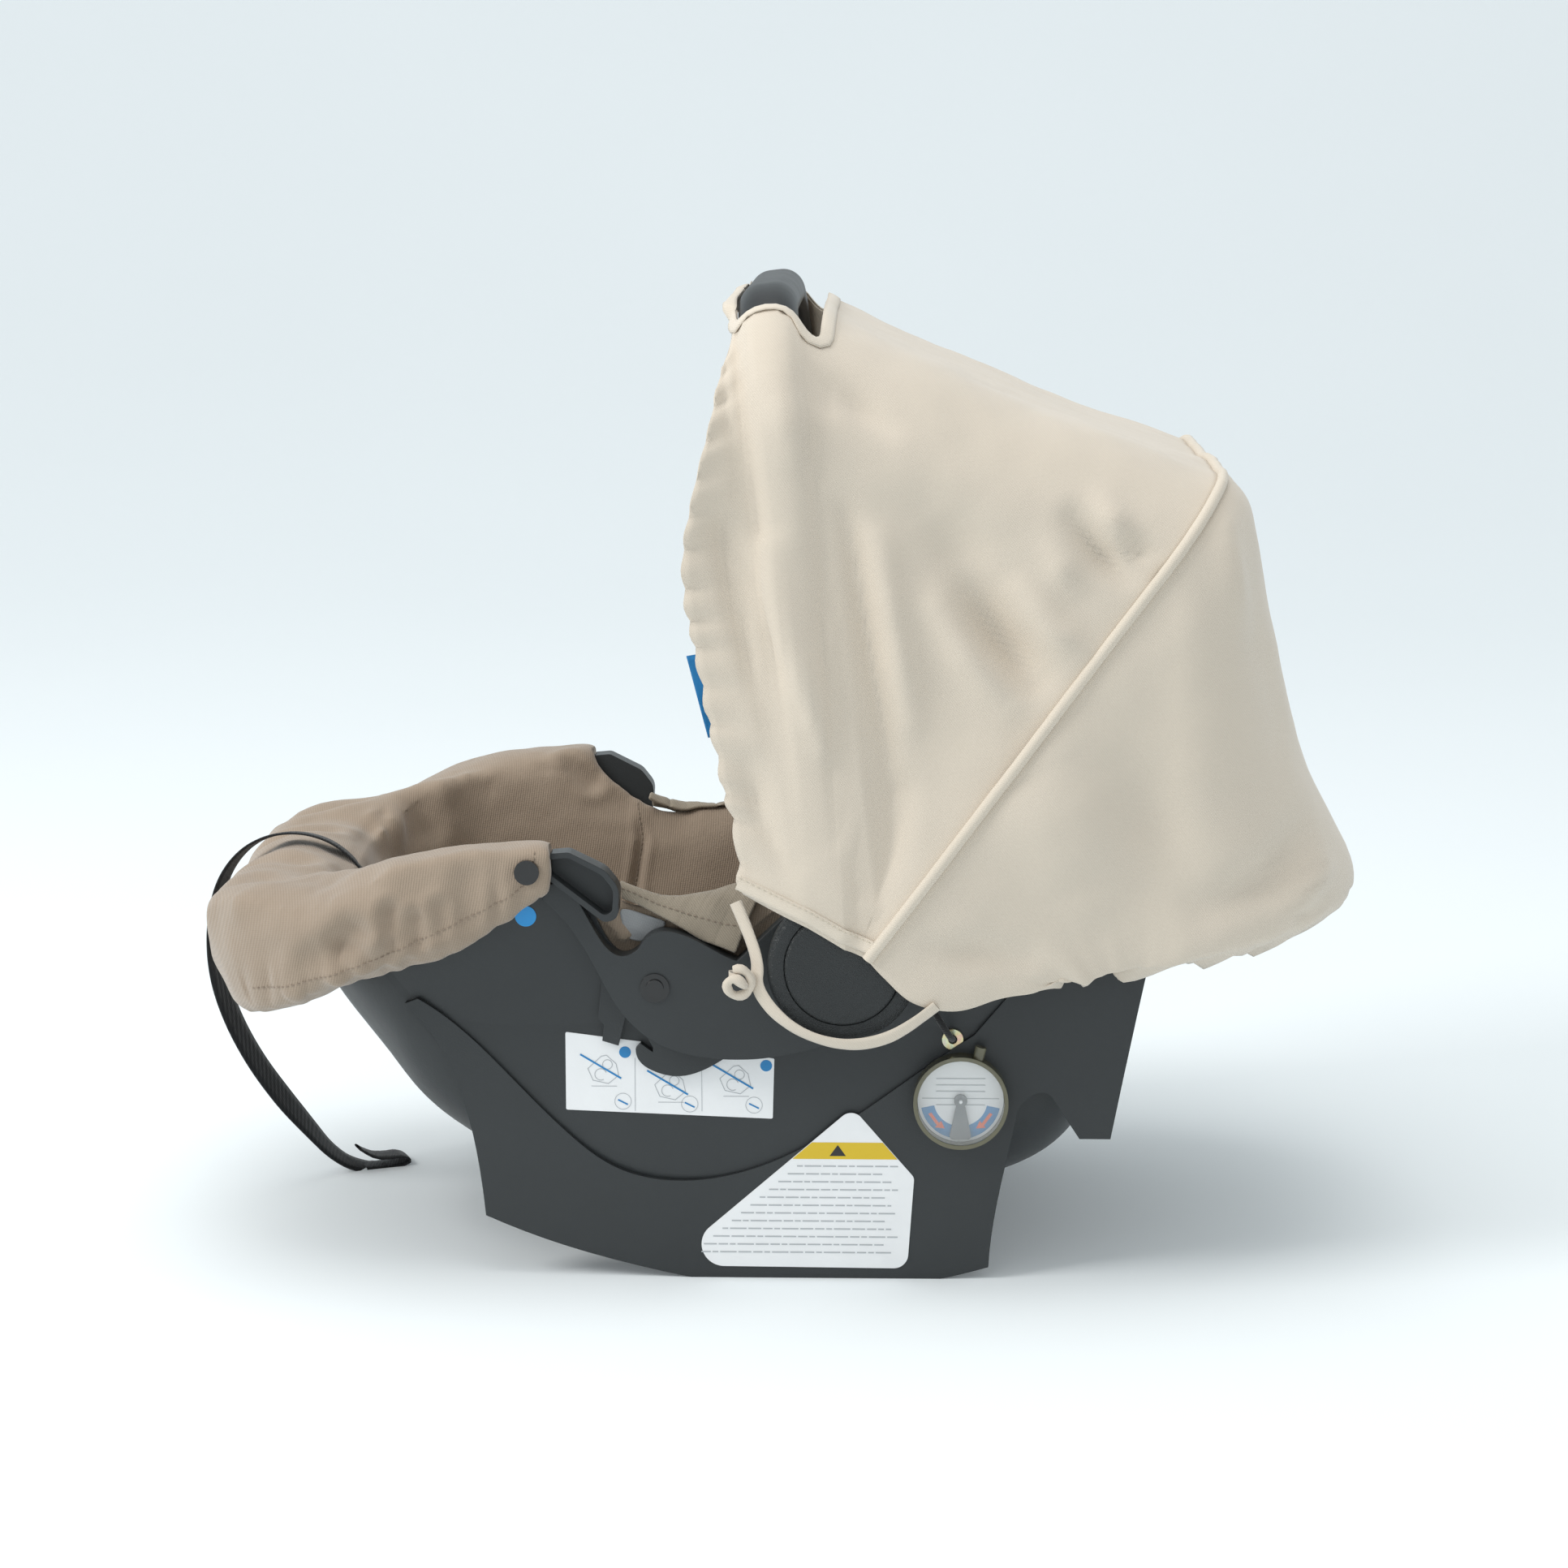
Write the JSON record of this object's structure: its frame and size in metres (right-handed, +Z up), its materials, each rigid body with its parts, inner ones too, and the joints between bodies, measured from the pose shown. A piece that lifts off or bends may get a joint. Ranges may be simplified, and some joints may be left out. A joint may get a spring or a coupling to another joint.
{
  "type": "infant car seat",
  "caption": "Rear-facing infant carrier seat with a rocker-bottom shell, turning carry handle, folding canopy, quilted pad, harness and level gauge.",
  "frame": {"origin": "on the floor, under the middle of the seat", "axes": "+X towards the head end, +Y towards the child's right side, +Z up"},
  "size_m": [0.734, 0.44, 0.6167],
  "materials": {
    "shell_plastic": "moulded polypropylene with a fine matte grain",
    "handle_plastic": "smooth satin black polypropylene",
    "hub_plastic": "black with a fine leather grain",
    "nylon": "black nylon",
    "button_red": "gloss",
    "steel": "zinc plated",
    "snap_black": "polished black",
    "zinc": "yellow passivated",
    "webbing": "ribbed black polyester webbing",
    "elastic": "woven cover",
    "pad_fabric": "taupe polyester twill",
    "canopy_fabric": "cream polyester twill",
    "label_film": "printed film",
    "gauge_housing": "smoked",
    "gauge_window": "clear",
    "gauge_marker": "grey"
  },
  "bodies": {
    "shell": {"adjuster_housing": "nylon", "adjuster_pin": "steel", "adjuster_tail": "webbing", "belt_hooks": "shell_plastic", "belt_tabs": "shell_plastic", "buckle_body": "nylon", "canopy_elastic": "elastic", "caution_label": "label_film", "cord_eyelet": "zinc", "crotch_anchor": "steel", "crotch_strap": "webbing", "flap_snaps": "snap_black", "gauge_body": "gauge_housing", "gauge_dial": "label_film", "gauge_filler": "gauge_housing", "gauge_lens": "gauge_window", "hub_loops": "canopy_fabric", "instruction_label": "label_film", "left_rocker": "shell_plastic", "left_shoulder_strap": "webbing", "left_tongue": "steel", "left_wing": "shell_plastic", "pad_overhang": "pad_fabric", "pivot_pins": "steel", "right_rocker": "shell_plastic", "right_shoulder_strap": "webbing", "right_tongue": "steel", "right_wing": "shell_plastic", "seat_bucket": "shell_plastic", "seat_pad": "pad_fabric", "skirt_webs": "shell_plastic", "splitter_plate": "steel", "tail_end": "webbing", "under_strap": "webbing", "underseat_bolt": "steel", "wing_rivets": "snap_black"},
    "handle": {"handle_bar": "handle_plastic", "left_hub_cover": "hub_plastic", "right_hub_cover": "hub_plastic", "left_button_spring": "steel", "right_button_spring": "steel"},
    "canopy": {"canopy_bow": "steel", "canopy_front": "canopy_fabric", "canopy_rear": "canopy_fabric"},
    "left_button": {"left_release_button": "hub_plastic", "left_lock_gear": "nylon"},
    "right_button": {"right_release_button": "hub_plastic", "right_lock_gear": "nylon"},
    "buckle_release": {"buckle_button": "button_red"},
    "lever": {"adjuster_lever": "nylon"},
    "pendulum": {"gauge_pendulum": "gauge_marker"},
    "chest_clip": {"left_chest_clip": "nylon", "right_chest_clip": "nylon"}
  },
  "joints": [
    {"name": "handle_turn", "type": "hinge", "parent": "shell", "child": "handle", "pos_m": [0.044, 0, 0.213], "axis": [0, 1, 0], "range_deg": [0, 70], "deforming": ["canopy_front", "canopy_rear"]},
    {"name": "canopy_fold", "type": "hinge", "parent": "shell", "child": "canopy", "pos_m": [0.044, 0, 0.213], "axis": [0, 1, 0], "range_deg": [0, 31.5]},
    {"name": "left_button_press", "type": "slide", "parent": "handle", "child": "left_button", "axis": [0, 1, 0], "range_m": [0, 0.004], "stiffness_N_per_m": 800, "springref_m": -0.003, "deforming": ["left_button_spring"]},
    {"name": "right_button_press", "type": "slide", "parent": "handle", "child": "right_button", "axis": [0, -1, 0], "range_m": [0, 0.004], "stiffness_N_per_m": 800, "springref_m": -0.003, "deforming": ["right_button_spring"]},
    {"name": "buckle_press", "type": "slide", "parent": "shell", "child": "buckle_release", "axis": [1, 0, 0], "range_m": [0, 0.003], "stiffness_N_per_m": 600, "springref_m": -0.003},
    {"name": "adjuster_press", "type": "hinge", "parent": "shell", "child": "lever", "pos_m": [-0.17881, 0, 0.10409], "axis": [0, 1, 0], "range_deg": [0, 8], "stiffness_Nm_per_rad": 0.3, "springref_deg": -17.19},
    {"name": "gauge_swing", "type": "hinge", "parent": "shell", "child": "pendulum", "pos_m": [0.116, -0.168, 0.12], "axis": [0, 1, 0], "range_deg": [-40, 40]},
    {"name": "clip_slide", "type": "slide", "parent": "shell", "child": "chest_clip", "axis": [0.8358, 0, 0.549], "range_m": [-0.01, 0.01]}
  ],
  "couplings": [
    {"joint": "canopy_fold", "follows": "handle_turn", "ratio": 0.45}
  ]
}
